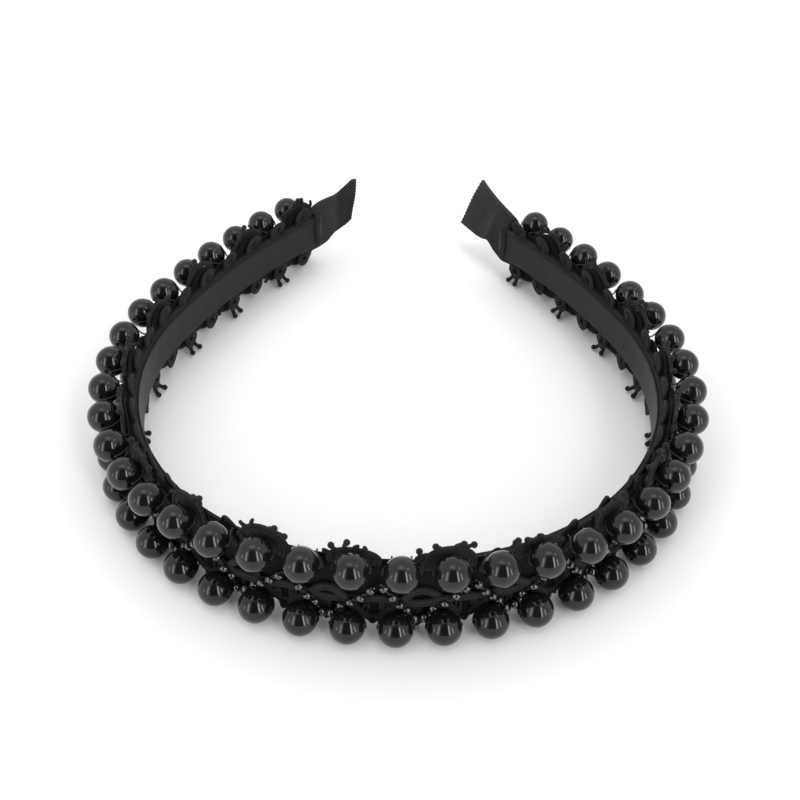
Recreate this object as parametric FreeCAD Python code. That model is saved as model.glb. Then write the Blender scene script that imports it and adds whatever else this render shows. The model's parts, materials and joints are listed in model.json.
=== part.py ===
import FreeCAD, Part
import math
import os
from FreeCAD import Placement, Rotation, Vector

# Beaded headband lying on one edge: +Z up, crown towards -Y, tips towards +Y.
# Everything is laid out along the row line, the plan curve through the big beads'
# centres.  A place is given by its run (arc length from the crown's middle, right
# side positive), its stand (distance outwards from the row line) and its height.
# Lengths are in millimetres and angles in degrees.

# row line, from the crown's middle to each tip
crown_radius = 85.5
crown_half_length = 33.7
side_radius = 68.3
side_length = 108.5
arm_radius = 170.0
flare_radius = 62.0          # the tips turn back outwards

# big beads
bead_diameter = 8.0
bead_bore = 1.1
bead_pitch = 10.74
beads_left = 19              # besides the middle bead
beads_right = 18
middle_bead_run = 1.7
lower_row_lag = 1.1          # the lower row sits this much nearer the left tip
row_gap = 15.0               # height between the two rows on the arms
crown_rise = 4.0             # extra gap over the crown
crown_rise_run = -8.0
crown_rise_reach = 75.0

# band, from the hair outwards
lining_thickness = 0.5
lining_width = 9.6
core_thickness = 1.6
core_width = 9.2
core_edge_radius = 0.5
core_height = 13.0           # middle of the core above the resting plane
cover_thickness = 0.4
cover_lip = 2.2              # how far the cover folds onto the inner face
ground_thickness = 0.8
ground_width = 14.4
ground_height = 11.8         # middle of the ground, which hangs below the core

# cords of the braid
cord_diameter = 0.8
cord_spacing = 0.88
scallop_cords = 2
scallop_drop = 1.4           # scallop centre below the upper beads' centres
scallop_lift = 2.4           # scallop centre above the lower beads' centres
upper_sweep = 210.0
lower_sweep = 180.0
lower_scallop_inset = 0.6    # lower scallops are this much tighter, clear of the lagging beads
eyelet_radius = 1.6
eyelet_drop = 0.7            # lower eyelets below the scallops' centres
plain_arch_radius = 3.3
gimp_height = 9.8            # middle of the waving cords
gimp_swing = 2.2             # their wave, each way

# picots
picot_stem = 0.6
picot_knob = 1.4
picot_length = 1.7
upper_picot_angles = (-48.0, -18.0, 16.0, 46.0)
lower_picot_angles = (-46.0, 44.0)

# seed beads
seed_diameter = 2.1
seed_length = 1.7
seed_bore = 0.8
seeds_per_leg = 5
zigzag_low = 5.9             # heights of the lowest and highest seeds
zigzag_high = 14.5
zigzag_low_gap = 3.0         # between the seeds on both sides of a turn
zigzag_high_gap = 3.6
zigzag_high_lag = 0.5        # the upper turns sit this much nearer the left tip

# threads
bead_thread = 0.5
stitch_bend = 0.5            # bend of the thread where it leaves a bead
seed_thread = 0.35
thread_past_seed = 0.3

# tips
trim_past_bead = 5.2         # braid and lining past the last bead
core_past_trim = 2.0
sleeve_length = 9.0
# the ribbon past the core's end: distance, then its lower and its upper edge, each as
# (outwards, height) from the core's middle; both tips lean, the right one much further
tip_stations = {
    "left": ((1.5, (-0.4, -5.4), (1.5, 6.6)), (5.0, (-0.5, -4.4), (1.0, 7.8)),
             (9.0, (-0.5, -3.6), (0.5, 8.2)), (14.5, (-0.5, -3.0), (0.15, 9.0))),
    "right": ((1.5, (-0.5, -4.8), (3.2, 7.6)), (4.5, (-0.6, -2.8), (4.1, 8.4)),
              (9.0, (-0.6, -3.5), (5.1, 8.5)), (18.2, (-0.6, -4.3), (6.9, 8.6)))}
tip_end_slant = {"left": 2.2, "right": 1.5}    # the upper corner reaches further
flare_length = 60.0

# joints: the elastic band bends at two shoulders
shoulder_beads = 4.5         # pitches from the middle bead
flex_out = 8.0
flex_in = 3.0
running_gap = 0.35
touch_gap = 0.05

bead_radius = bead_diameter / 2
seed_radius = seed_diameter / 2
cord_radius = cord_diameter / 2
lower_row_height = bead_radius

# stands of the layers, from the row line inwards
ground_face = -(bead_radius + touch_gap + cord_diameter + touch_gap)
cord_stand = ground_face + touch_gap + cord_radius
cover_face = ground_face - ground_thickness
core_stand = cover_face - cover_thickness - core_thickness / 2
core_outer = core_stand + core_thickness / 2
core_inner = core_stand - core_thickness / 2
lining_face = core_inner - cover_thickness
seed_stand = ground_face + cord_diameter + 2 * touch_gap + seed_radius

first_bead_run = middle_bead_run - beads_left * bead_pitch
last_bead_run = middle_bead_run + beads_right * bead_pitch
trim_ends = {"left": first_bead_run - trim_past_bead, "right": last_bead_run + trim_past_bead}
shoulders = {"left": middle_bead_run - shoulder_beads * bead_pitch,
             "right": middle_bead_run + shoulder_beads * bead_pitch}


# ---------- the row line ----------

def plan_arcs(arm_end):
    """Arcs of the right half: start run, length, centre, radius, heading, turn sense."""
    arcs = []
    point, heading, run = Vector(0, 0, 0), 0.0, 0.0
    arm_length = arm_end - crown_half_length - side_length
    stretches = ((crown_radius, crown_half_length, 1), (side_radius, side_length, 1),
                 (arm_radius, arm_length, 1), (flare_radius, flare_length, -1))
    for radius, length, sense in stretches:
        inward = Vector(-math.sin(heading), math.cos(heading), 0)
        centre = point + inward * (radius * sense)
        arcs.append((run, length, centre, radius, heading, sense))
        heading += sense * length / radius
        outward = Vector(math.sin(heading), -math.cos(heading), 0)
        point = centre + outward * (radius * sense)
        run += length
    return arcs


side_arcs = {"left": plan_arcs(-trim_ends["left"]), "right": plan_arcs(trim_ends["right"])}


def place(run, stand=0.0, height=0.0):
    """Point of the given run, stand and height, and the outward direction there."""
    side = "right" if run >= 0 else "left"
    distance = abs(run)
    start, length, centre, radius, heading, sense = [
        arc for arc in side_arcs[side] if distance >= arc[0] - 1e-9][-1]
    angle = heading + sense * (distance - start) / radius
    outward = Vector(math.sin(angle), -math.cos(angle), 0)
    point = centre + outward * (radius * sense + stand)
    if side == "left":
        point.x, outward.x = -point.x, -outward.x
    point.z = height
    return point, outward


def seat(run, stand, height):
    """Placement with local X outwards, Y along the run and Z up."""
    point, outward = place(run, stand, height)
    turn = math.degrees(math.atan2(outward.y, outward.x))
    return Placement(point, Rotation(Vector(0, 0, 1), turn))


def bead_run(index):
    return middle_bead_run + index * bead_pitch


def rise(run):
    share = (run - crown_rise_run) / crown_rise_reach
    return crown_rise * math.cos(share * math.pi / 2) ** 2 if abs(share) < 1 else 0.0


def upper_row_height(run):
    return lower_row_height + row_gap + rise(run)




# ---------- solids ----------

def half_strip(outline, start, end, side):
    """Sweep an outline of (stand, height) corners along one half, from start to end."""
    solids = []
    for arc_start, length, centre, radius, heading, sense in side_arcs[side]:
        low, high = max(start, arc_start), min(end, arc_start + length)
        if high - low < 1e-6:
            continue
        sign = 1 if side == "right" else -1
        middle = Vector(centre.x * sign, centre.y, 0)
        angle = heading + sense * (low - arc_start) / radius
        outward = Vector(math.sin(angle) * sign, -math.cos(angle), 0)
        corners = [middle + outward * (radius * sense + stand) + Vector(0, 0, height)
                   for stand, height in outline]
        face = Part.Face(Part.makePolygon(corners + corners[:1]))
        turn = math.degrees((high - low) / radius) * sense * sign
        solids.append(face.revolve(middle, Vector(0, 0, 1), turn))
    return solids


def strip(outline, start, end):
    """Sweep an outline along the row line between two signed runs, as one solid."""
    solids = []
    if end > 0:
        solids += half_strip(outline, max(start, 0.0), end, "right")
    if start < 0:
        solids += half_strip(outline, max(-end, 0.0), -start, "left")
    whole = solids[0]
    if len(solids) > 1:
        whole = whole.fuse(solids[1:]).removeSplitter()
    return whole


def rounded_box(inner, outer, centre_height, width, radius, steps=4):
    """Outline of a flat bar with rounded long edges, as (stand, height) corners."""
    half = width / 2
    corners = []
    for stand, height, first in ((outer - radius, half - radius, 0), (inner + radius, half - radius, 90),
                                 (inner + radius, radius - half, 180), (outer - radius, radius - half, 270)):
        for step in range(steps + 1):
            angle = math.radians(first + 90 * step / steps)
            corners.append((stand + radius * math.cos(angle),
                            centre_height + height + radius * math.sin(angle)))
    return corners


def bored_bead(radius, bore_radius, length):
    """Round bead with a bore along Y; a length under the diameter flattens its ends."""
    half = min(length / 2, math.sqrt(radius ** 2 - bore_radius ** 2))
    rim = math.sqrt(radius ** 2 - half ** 2)
    arc = Part.Arc(Vector(0, -half, rim), Vector(0, 0, radius), Vector(0, half, rim)).toShape()
    edges = [arc]
    if rim > bore_radius + 1e-6:
        edges.append(Part.makeLine(Vector(0, half, rim), Vector(0, half, bore_radius)))
    edges.append(Part.makeLine(Vector(0, half, bore_radius), Vector(0, -half, bore_radius)))
    if rim > bore_radius + 1e-6:
        edges.append(Part.makeLine(Vector(0, -half, bore_radius), Vector(0, -half, rim)))
    return Part.Face(Part.Wire(edges)).revolve(Vector(0, 0, 0), Vector(0, 1, 0), 360)


def cord_arc(radius, sweep, middle_angle=0.0):
    """Round cord bent to an arc in the local YZ plane, centred on the way up."""
    section = Part.Face(Part.Wire(Part.makeCircle(cord_radius, Vector(0, 0, radius), Vector(0, 1, 0))))
    section.rotate(Vector(0, 0, 0), Vector(1, 0, 0), middle_angle - sweep / 2)
    return section.revolve(Vector(0, 0, 0), Vector(1, 0, 0), sweep)


def picot():
    """Short stem ending in a round knob, standing up from the origin."""
    stem, knob = picot_stem / 2, picot_knob / 2
    knob_height = picot_length - knob
    meeting = knob_height - math.sqrt(knob ** 2 - stem ** 2)
    edges = [Part.makeLine(Vector(0, 0, 0), Vector(stem, 0, 0)),
             Part.makeLine(Vector(stem, 0, 0), Vector(stem, 0, meeting)),
             Part.Arc(Vector(stem, 0, meeting), Vector(knob, 0, knob_height),
                      Vector(0, 0, picot_length)).toShape(),
             Part.makeLine(Vector(0, 0, picot_length), Vector(0, 0, 0))]
    return Part.Face(Part.Wire(edges)).revolve(Vector(0, 0, 0), Vector(0, 0, 1), 360)


def rod(start, end, diameter):
    return Part.makeCylinder(diameter / 2, (end - start).Length, start, end - start)


def placed(shape, run, stand, height):
    copy = shape.copy()
    copy.Placement = seat(run, stand, height).multiply(copy.Placement)
    return copy


# ---------- what each body carries ----------

def layer_gap(stand):
    """Half the gap at a shoulder for a layer whose outer face has this stand."""
    reach = abs(stand - core_stand)
    return (running_gap + reach * math.tan(math.radians(flex_out))) / 2


bodies = {"left": (trim_ends["left"], shoulders["left"]),
          "crown": (shoulders["left"], shoulders["right"]),
          "right": (shoulders["right"], trim_ends["right"])}


def stretch(body, stand, past=0.0):
    """Runs of a layer on one body: cut back at the shoulders, extended at the tips."""
    start, end = bodies[body]
    gap = layer_gap(stand)
    start = start - past if body == "left" else start + gap
    end = end + past if body == "right" else end - gap
    return start, end


def bead_indexes(body):
    start, end = bodies[body]
    return [i for i in range(-beads_left, beads_right + 1) if start < bead_run(i) < end]


# ---------- band ----------

def core_band(body):
    outline = rounded_box(core_inner, core_outer, core_height, core_width, core_edge_radius)
    start, end = stretch(body, core_outer, core_past_trim)
    return [strip(outline, start, end)]


def cover_ribbon(body):
    half = core_width / 2
    outer_half = half + cover_thickness
    lip = half - cover_lip
    profile = [(cover_face, outer_half), (lining_face, outer_half), (lining_face, lip), (core_inner, lip),
               (core_inner, half), (core_outer, half), (core_outer, -half), (core_inner, -half),
               (core_inner, -lip), (lining_face, -lip), (lining_face, -outer_half),
               (cover_face, -outer_half)]
    outline = [(stand, core_height + height) for stand, height in profile]
    start, end = stretch(body, cover_face, core_past_trim - sleeve_length)
    return [strip(outline, start, end)]


def lining_ribbon(body):
    outline = rounded_box(lining_face - lining_thickness, lining_face, core_height,
                          lining_width, lining_thickness / 2 - 0.01)
    start, end = stretch(body, lining_face - lining_thickness)
    return [strip(outline, start, end)]


def braid_ground(body):
    outline = rounded_box(cover_face, ground_face, ground_height, ground_width, ground_thickness / 2 - 0.01)
    start, end = stretch(body, ground_face)
    return [strip(outline, start, end)]


# ---------- braid ----------

cell_reach = bead_pitch / 2 - layer_gap(ground_face + cord_diameter)
scallop_radius = cell_reach - cord_radius
lower_scallop_radius = scallop_radius - lower_scallop_inset


def upper_scallop_cords(body):
    solids = []
    for index in bead_indexes(body):
        run = bead_run(index)
        height = upper_row_height(run) - scallop_drop
        if index % 2:
            arcs = [cord_arc(scallop_radius - n * cord_spacing, upper_sweep) for n in range(scallop_cords)]
        else:
            arcs = [cord_arc(plain_arch_radius, upper_sweep)]
        solids += [placed(arc, run, cord_stand, height) for arc in arcs]
    return solids


def lower_scallop_cords(body):
    solids = []
    for index in bead_indexes(body):
        run = bead_run(index)
        height = lower_row_height + scallop_lift
        if index % 2 == 0:
            arcs = [cord_arc(lower_scallop_radius - n * cord_spacing, lower_sweep, 180)
                    for n in range(scallop_cords)]
        else:
            arcs = [cord_arc(plain_arch_radius, lower_sweep, 180)]
        solids += [placed(arc, run, cord_stand, height) for arc in arcs]
    return solids


def upper_eyelet_cords(body):
    ring = cord_arc(eyelet_radius, 360)
    return [placed(ring, bead_run(i), cord_stand, upper_row_height(bead_run(i)) - scallop_drop)
            for i in bead_indexes(body)]


def lower_eyelet_cords(body):
    ring = cord_arc(eyelet_radius, 360)
    height = lower_row_height + scallop_lift - eyelet_drop
    return [placed(ring, bead_run(i), cord_stand, height) for i in bead_indexes(body)]


def picots_at(run, height, radius, angles, facing):
    solids = []
    foot = radius + cord_radius + touch_gap
    for angle in angles:
        knot = picot()
        knot.translate(Vector(0, 0, foot))
        knot.rotate(Vector(0, 0, 0), Vector(1, 0, 0), facing + angle)
        solids.append(placed(knot, run, cord_stand, height))
    return solids


def upper_picots(body):
    solids = []
    for index in bead_indexes(body):
        if index % 2:
            run = bead_run(index)
            solids += picots_at(run, upper_row_height(run) - scallop_drop, scallop_radius,
                                upper_picot_angles, 0)
    return solids


def lower_picots(body):
    solids = []
    for index in bead_indexes(body):
        if index % 2 == 0:
            solids += picots_at(bead_run(index), lower_row_height + scallop_lift, lower_scallop_radius,
                                lower_picot_angles, 180)
    return solids


def middle_gimp_cords(body):
    """Two cords side by side, waving against the seed zigzag, one arc per half wave."""
    start, end = bodies[body]
    gap = layer_gap(cord_stand + cord_radius)
    crossings = [start + gap] + [bead_run(i) for i in bead_indexes(body)] + [end - gap]

    def wave_point(run, level):
        phase = math.sin(math.pi * (run - middle_bead_run) / bead_pitch)
        height = gimp_height + gimp_swing * phase + level * cord_spacing / 2
        return place(run, cord_stand, height)[0]

    solids = []
    for level in (-1, 1):
        arcs = [Part.Arc(wave_point(low, level), wave_point((low + high) / 2, level),
                         wave_point(high, level)).toShape()
                for low, high in zip(crossings, crossings[1:])]
        first = arcs[0]
        section = Part.Wire(Part.makeCircle(cord_radius, first.valueAt(first.FirstParameter),
                                            first.tangentAt(first.FirstParameter)))
        solids.append(Part.Wire(arcs).makePipeShell([section], True, False))
    return solids


# ---------- beads ----------

def upper_beads(body):
    bead = bored_bead(bead_radius, bead_bore / 2, bead_diameter)
    return [placed(bead, bead_run(i), 0, upper_row_height(bead_run(i))) for i in bead_indexes(body)]


def lower_beads(body):
    bead = bored_bead(bead_radius, bead_bore / 2, bead_diameter)
    return [placed(bead, bead_run(i) - lower_row_lag, 0, lower_row_height) for i in bead_indexes(body)]


def bead_stitch():
    """Thread through a bead's bore, with both ends turned down into the braid."""
    half = bead_radius + stitch_bend + touch_gap
    foot = cord_stand + cord_radius
    slack = stitch_bend * (1 - math.sqrt(0.5))
    corners = [Vector(foot, -half, 0), Vector(-stitch_bend, -half, 0), Vector(0, stitch_bend - half, 0),
               Vector(0, half - stitch_bend, 0), Vector(-stitch_bend, half, 0), Vector(foot, half, 0)]
    path = Part.Wire([
        Part.makeLine(corners[0], corners[1]),
        Part.Arc(corners[1], Vector(-slack, slack - half, 0), corners[2]).toShape(),
        Part.makeLine(corners[2], corners[3]),
        Part.Arc(corners[3], Vector(-slack, half - slack, 0), corners[4]).toShape(),
        Part.makeLine(corners[4], corners[5])])
    section = Part.Wire(Part.makeCircle(bead_thread / 2, corners[0], Vector(1, 0, 0)))
    return path.makePipeShell([section], True, False)


def bead_stitches(body):
    stitch = bead_stitch()
    solids = []
    for index in bead_indexes(body):
        run = bead_run(index)
        solids.append(placed(stitch, run, 0, upper_row_height(run)))
        solids.append(placed(stitch, run - lower_row_lag, 0, lower_row_height))
    return solids


def zigzag_legs(body):
    """Ends of each straight leg of seeds, one leg behind every bead.

    The lower turns sit in the gaps of the lower row."""
    legs = []
    for index in bead_indexes(body):
        run = bead_run(index)
        sense = -1 if index % 2 else 1           # an even leg falls away from the left tip
        high = place(run - sense * (bead_pitch - zigzag_high_gap) / 2 - zigzag_high_lag,
                     seed_stand, zigzag_high)[0]
        low = place(run + sense * (bead_pitch - zigzag_low_gap) / 2 - lower_row_lag,
                    seed_stand, zigzag_low)[0]
        legs.append((high, low))
    return legs


def seed_beads(body):
    seed = bored_bead(seed_radius, seed_bore / 2, seed_length)
    solids = []
    for start, end in zigzag_legs(body):
        turn = Rotation(Vector(0, 1, 0), end - start)
        for n in range(seeds_per_leg):
            centre = start + (end - start) * (n / (seeds_per_leg - 1))
            copy = seed.copy()
            copy.Placement = Placement(centre, turn)
            solids.append(copy)
    return solids


def seed_threads(body):
    solids = []
    for start, end in zigzag_legs(body):
        past = (end - start).normalize() * (seed_length / 2 + thread_past_seed)
        solids.append(rod(start - past, end + past, seed_thread))
    return solids


# ---------- tips ----------

def tip_section(side, distance, low, high, thickness, slant=0.0):
    """Flat section past the core's end, between two edges given as (outwards, height)."""
    sign = 1 if side == "right" else -1
    seated = seat(trim_ends[side] + sign * (core_past_trim + distance), core_stand, core_height)
    lower, upper = Vector(low[0], 0, low[1]), Vector(high[0], 0, high[1])
    across = (upper - lower).cross(Vector(0, 1, 0)).normalize() * (thickness / 2)
    corners = [lower - across, upper - across, upper + across, lower + across]
    for corner in corners:
        corner.y = sign * slant * (corner.z - lower.z) / (upper.z - lower.z)
    corners = [seated.multVec(corner) for corner in corners]
    return Part.makePolygon(corners + corners[:1])


def tip_ribbon(side):
    """Sleeve round the core's end that closes to a flat, leaning double ribbon."""
    sign = 1 if side == "right" else -1
    core_end = trim_ends[side] + sign * core_past_trim
    half = core_width / 2 + cover_thickness
    full = core_thickness + 2 * cover_thickness
    sections = [tip_section(side, 0, (0, -half), (0, half), full)]
    for distance, low, high in tip_stations[side]:
        slant = tip_end_slant[side] if distance == tip_stations[side][-1][0] else 0.0
        sections.append(tip_section(side, distance, low, high, 2 * cover_thickness, slant))
    tongue = Part.makeLoft(sections, True, True)
    outer = [(core_stand + x * full / 2, core_height + z * half)
             for x, z in ((1, -1), (1, 1), (-1, 1), (-1, -1))]
    inner = rounded_box(core_inner, core_outer, core_height, core_width, core_edge_radius)
    runs = sorted((core_end, core_end - sign * (sleeve_length - touch_gap)))
    sleeve = strip(outer, *runs).cut(strip(inner, *runs))
    return [sleeve.fuse(tongue).removeSplitter()]


# ---------- building ----------

long_pieces = {"core_band": core_band, "cover_ribbon": cover_ribbon, "lining_ribbon": lining_ribbon,
               "braid_ground": braid_ground, "upper_scallop_cords": upper_scallop_cords,
               "lower_scallop_cords": lower_scallop_cords, "upper_eyelet_cords": upper_eyelet_cords,
               "lower_eyelet_cords": lower_eyelet_cords, "upper_picots": upper_picots,
               "lower_picots": lower_picots, "middle_gimp_cords": middle_gimp_cords,
               "upper_beads": upper_beads, "lower_beads": lower_beads, "bead_stitches": bead_stitches,
               "seed_beads": seed_beads, "seed_threads": seed_threads}

nodes = {}
for name, build in long_pieces.items():
    for body in bodies:
        nodes[body + "_" + name] = build(body)
for side in ("left", "right"):
    nodes[side + "_tip_ribbon"] = tip_ribbon(side)

# the origin is the middle of the whole box, on the plane that the lower beads rest on
box = FreeCAD.BoundBox()
for solids in nodes.values():
    for solid in solids:
        box.add(solid.optimalBoundingBox())
shift = Vector(-(box.XMin + box.XMax) / 2, -(box.YMin + box.YMax) / 2, 0)

os.makedirs("parts", exist_ok=True)
for name, solids in nodes.items():
    shape = solids[0] if len(solids) == 1 else Part.Compound(solids)
    shape.translate(shift)
    for solid in shape.Solids:
        if not solid.isValid() or solid.Volume <= 0:
            print("bad solid in", name, solid.Volume)
    shape.exportStep(os.path.join("parts", name + ".step"))

print("nodes", len(nodes), "solids", sum(len(solids) for solids in nodes.values()))
print("box", [round(v, 2) for v in (box.XLength, box.YLength, box.ZMin, box.ZMax)], "shift", shift)
for side in ("left", "right"):
    pivot = place(shoulders[side], core_stand, core_height)[0] + shift
    print(side, "shoulder", [round(v, 3) for v in pivot])
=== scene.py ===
import json
import bpy
import numpy as np
from mathutils import Matrix, Vector


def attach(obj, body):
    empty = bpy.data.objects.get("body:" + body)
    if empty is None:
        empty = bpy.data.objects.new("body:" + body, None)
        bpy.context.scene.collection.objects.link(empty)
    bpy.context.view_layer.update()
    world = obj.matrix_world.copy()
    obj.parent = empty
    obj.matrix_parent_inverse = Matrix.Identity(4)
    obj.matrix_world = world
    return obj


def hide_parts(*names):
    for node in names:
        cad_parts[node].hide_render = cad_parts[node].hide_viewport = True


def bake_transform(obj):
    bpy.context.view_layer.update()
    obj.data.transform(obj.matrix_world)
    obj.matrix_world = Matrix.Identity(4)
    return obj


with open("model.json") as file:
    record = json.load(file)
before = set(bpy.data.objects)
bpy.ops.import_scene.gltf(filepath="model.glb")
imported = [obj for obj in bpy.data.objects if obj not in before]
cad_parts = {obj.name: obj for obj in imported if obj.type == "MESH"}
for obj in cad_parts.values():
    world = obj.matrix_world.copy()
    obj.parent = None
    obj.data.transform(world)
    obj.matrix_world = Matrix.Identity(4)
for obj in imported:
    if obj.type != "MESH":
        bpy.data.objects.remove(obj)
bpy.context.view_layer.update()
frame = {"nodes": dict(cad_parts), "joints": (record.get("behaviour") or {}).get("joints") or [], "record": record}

print("frame loaded")

mm = 0.001
dice = np.random.default_rng(19)
up = np.array([0.0, 0.0, 1.0])


# The row line: the plan curve through the big beads, in mm. A place on the band is its run (arc
# length from the crown's middle, right side positive), its stand (outwards from the row line)
# and its height above the floor.
rowLine = {"crownRadius": 85.5, "crownHalf": 33.7, "sideRadius": 68.3, "sideLength": 108.5,
           "armRadius": 170.0, "flareRadius": 62.0, "flareLength": 60.0}
beadRows = {"radius": 4.0, "bore": 0.55, "pitch": 10.74, "left": 19, "right": 18, "middleRun": 1.7,
            "lowerLag": 1.1, "gap": 15.0, "rise": 4.0, "riseRun": -8.0, "riseReach": 75.0}
layers = {"touch": 0.05, "cord": 0.8, "ground": 0.8, "cover": 0.4, "core": 1.6, "lining": 0.5}
trim = {"pastBead": 5.2, "shoulderBeads": 4.5}

groundFace = -(beadRows["radius"] + 2 * layers["touch"] + layers["cord"])
cordStand = groundFace + layers["touch"] + layers["cord"] / 2
coverFace = groundFace - layers["ground"]
coreStand = coverFace - layers["cover"] - layers["core"] / 2
liningFace = coreStand - layers["core"] / 2 - layers["cover"]

beadIndex = np.arange(-beadRows["left"], beadRows["right"] + 1)
beadRun = beadRows["middleRun"] + beadIndex * beadRows["pitch"]
trimEnd = {"left": beadRun[0] - trim["pastBead"], "right": beadRun[-1] + trim["pastBead"]}
shoulder = {side: beadRows["middleRun"] + sign * trim["shoulderBeads"] * beadRows["pitch"]
            for side, sign in (("left", -1), ("right", 1))}


def arcTable(armEnd):
    # the arcs of one half in order; each centre lies inwards of the curve, the flare's outwards
    arcs, point, heading, run = [], np.zeros(2), 0.0, 0.0
    armLength = armEnd - rowLine["crownHalf"] - rowLine["sideLength"]
    for radius, length in ((rowLine["crownRadius"], rowLine["crownHalf"]),
                           (rowLine["sideRadius"], rowLine["sideLength"]),
                           (rowLine["armRadius"], armLength),
                           (-rowLine["flareRadius"], rowLine["flareLength"])):
        centre = point + radius * np.array([-np.sin(heading), np.cos(heading)])
        arcs.append((run, centre[0], centre[1], radius, heading))
        heading += length / radius
        point = centre + radius * np.array([np.sin(heading), -np.cos(heading)])
        run += length
    return np.array(arcs)


arcsOf = {"left": arcTable(-trimEnd["left"]), "right": arcTable(trimEnd["right"])}


def outwardAt(run):
    # unit vector away from the head: (sin, -cos) of the heading, mirrored on the left side
    run = np.asarray(run, float)
    angle = np.zeros(run.shape)
    for side, here in (("left", run < 0), ("right", run >= 0)):
        arcs = arcsOf[side]
        away = np.abs(run[here])
        row = arcs[np.searchsorted(arcs[:, 0], away, side="right") - 1]
        angle[here] = row[:, 4] + (away - row[:, 0]) / row[:, 3]
    side = np.where(run < 0, -1.0, 1.0)
    return np.stack([np.sin(angle) * side, -np.cos(angle), np.zeros(run.shape)], -1)


def onBand(run, stand, height):
    # the arc's centre plus its outward direction times (signed radius + stand), in metres
    run, stand, height = np.broadcast_arrays(*(np.asarray(v, float) for v in (run, stand, height)))
    outward = outwardAt(run)
    centre, radius = np.zeros(run.shape + (3,)), np.zeros(run.shape)
    for side, here, sign in (("left", run < 0, -1), ("right", run >= 0, 1)):
        arcs = arcsOf[side]
        row = arcs[np.searchsorted(arcs[:, 0], np.abs(run[here]), side="right") - 1]
        centre[here, 0], centre[here, 1], radius[here] = row[:, 1] * sign, row[:, 2], row[:, 3]
    point = centre + outward * (radius + stand)[..., None]
    point[..., 2] = height
    return point * mm + originShift


originShift = np.zeros(3)
leftHinge = [j for j in frame["joints"] if j["name"] == "left_arm_flex"][0]
hingeHere = onBand(shoulder["left"], coreStand, leftHinge["pos_m"][2] / mm)
originShift = np.array(leftHinge["pos_m"]) - hingeHere

lowerHeight = beadRows["radius"]
coreHeight = leftHinge["pos_m"][2] / mm


def upperHeight(run):
    # the upper row climbs over the crown as a squared cosine
    share = np.clip((np.asarray(run, float) - beadRows["riseRun"]) / beadRows["riseReach"], -1, 1)
    return lowerHeight + beadRows["gap"] + beadRows["rise"] * np.cos(share * np.pi / 2) ** 2


bodyOf = {"left": "left_arm", "crown": "crown", "right": "right_arm"}
reach = {"left": (trimEnd["left"], shoulder["left"]), "crown": (shoulder["left"], shoulder["right"]),
         "right": (shoulder["right"], trimEnd["right"])}


def beadsOn(part):
    low, high = reach[part]
    return beadIndex[(beadRun > low) & (beadRun < high)]


def unit(v):
    return v / np.linalg.norm(v, axis=-1, keepdims=True)


def smoothEdge(knots, share):
    # a curve through evenly spread knots, by cubic Catmull-Rom weights
    knots = np.array(knots)
    knots = np.concatenate([[2 * knots[0] - knots[1]], knots, [2 * knots[-1] - knots[-2]]])
    place = share * (len(knots) - 3)
    i = np.minimum(place.astype(int), len(knots) - 4)
    t = (place - i)[:, None]
    a, b, c, d = knots[i], knots[i + 1], knots[i + 2], knots[i + 3]
    square, cube = 2 * a - 5 * b + 4 * c - d, 3 * b - a - 3 * c + d
    return 0.5 * (2 * b + (c - a) * t + square * t ** 2 + cube * t ** 3)


# ---- meshes ----

def skin(grid, closed=False, along=None, around=None):
    # grid[b, n, m] holds b tubes of n rings with m points each, closed around; an open end gets
    # quads between the points i and m-1-i, and the UV map holds the length along and the way round
    b, n, m = grid.shape[:3]
    along = np.linspace(0, 1, n) if along is None else along
    around = np.linspace(0, 1, m + 1) if around is None else around
    i, j = np.meshgrid(np.arange(n if closed else n - 1), np.arange(m), indexing="ij")
    i2, j2 = (i + 1) % n, (j + 1) % m
    quads = np.stack([i * m + j, i * m + j2, i2 * m + j2, i2 * m + j], -1).reshape(-1, 4)
    step = along[1] - along[0]
    u, u2 = along[i], np.where(i + 1 < n, along[i2], along[i] + step)
    v, v2 = around[j], around[j + 1]
    quadUv = np.stack([np.stack([u, v], -1), np.stack([u, v2], -1),
                       np.stack([u2, v2], -1), np.stack([u2, v], -1)], -2).reshape(-1, 4, 2)
    caps, capUv = np.zeros((0, 4), int), np.zeros((0, 4, 2))
    if not closed:
        k = np.arange(m // 2 - 1)
        ring = np.stack([k, k + 1, m - 2 - k, m - 1 - k], -1)
        caps = np.concatenate([ring[:, ::-1], ring + (n - 1) * m])
        capUv = np.stack([np.repeat([along[0], along[-1]], len(ring) * 4),
                          around[caps % m].ravel()], -1).reshape(-1, 4, 2)
    offset = (np.arange(b) * n * m)[:, None, None]
    faces = np.concatenate([quads, caps])
    uv = np.concatenate([quadUv, capUv])
    return {"points": grid.reshape(-1, 3), "faces": (faces[None] + offset).reshape(-1, 4),
            "uv": np.tile(uv, (b, 1, 1))}


def tubes(path, facing, radius, sides=8, closed=False):
    # round cords: each ring is radius * (cos N + sin B), N is the facing made square to the path
    if closed:
        run = np.roll(path, -1, -2) - np.roll(path, 1, -2)
    else:
        run = np.gradient(path, axis=-2)
    forward = unit(run)
    side = unit(np.cross(forward, facing))
    normal = np.cross(side, forward)
    turn = np.linspace(0, 2 * np.pi, sides, endpoint=False)[:, None]
    spread = np.broadcast_to(np.asarray(radius, float), path.shape[:-1])[..., None, None] * mm
    ring = np.cos(turn) * normal[..., None, :] + np.sin(turn) * side[..., None, :]
    grid = path[..., None, :] + spread * ring
    steps = np.linalg.norm(np.diff(path, axis=-2), axis=-1).reshape(-1, path.shape[-2] - 1).mean(0)
    lengths = np.concatenate([[0], np.cumsum(steps)]) / mm / 10
    return skin(grid.reshape(-1, path.shape[-2], sides, 3), closed, along=lengths)


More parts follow.
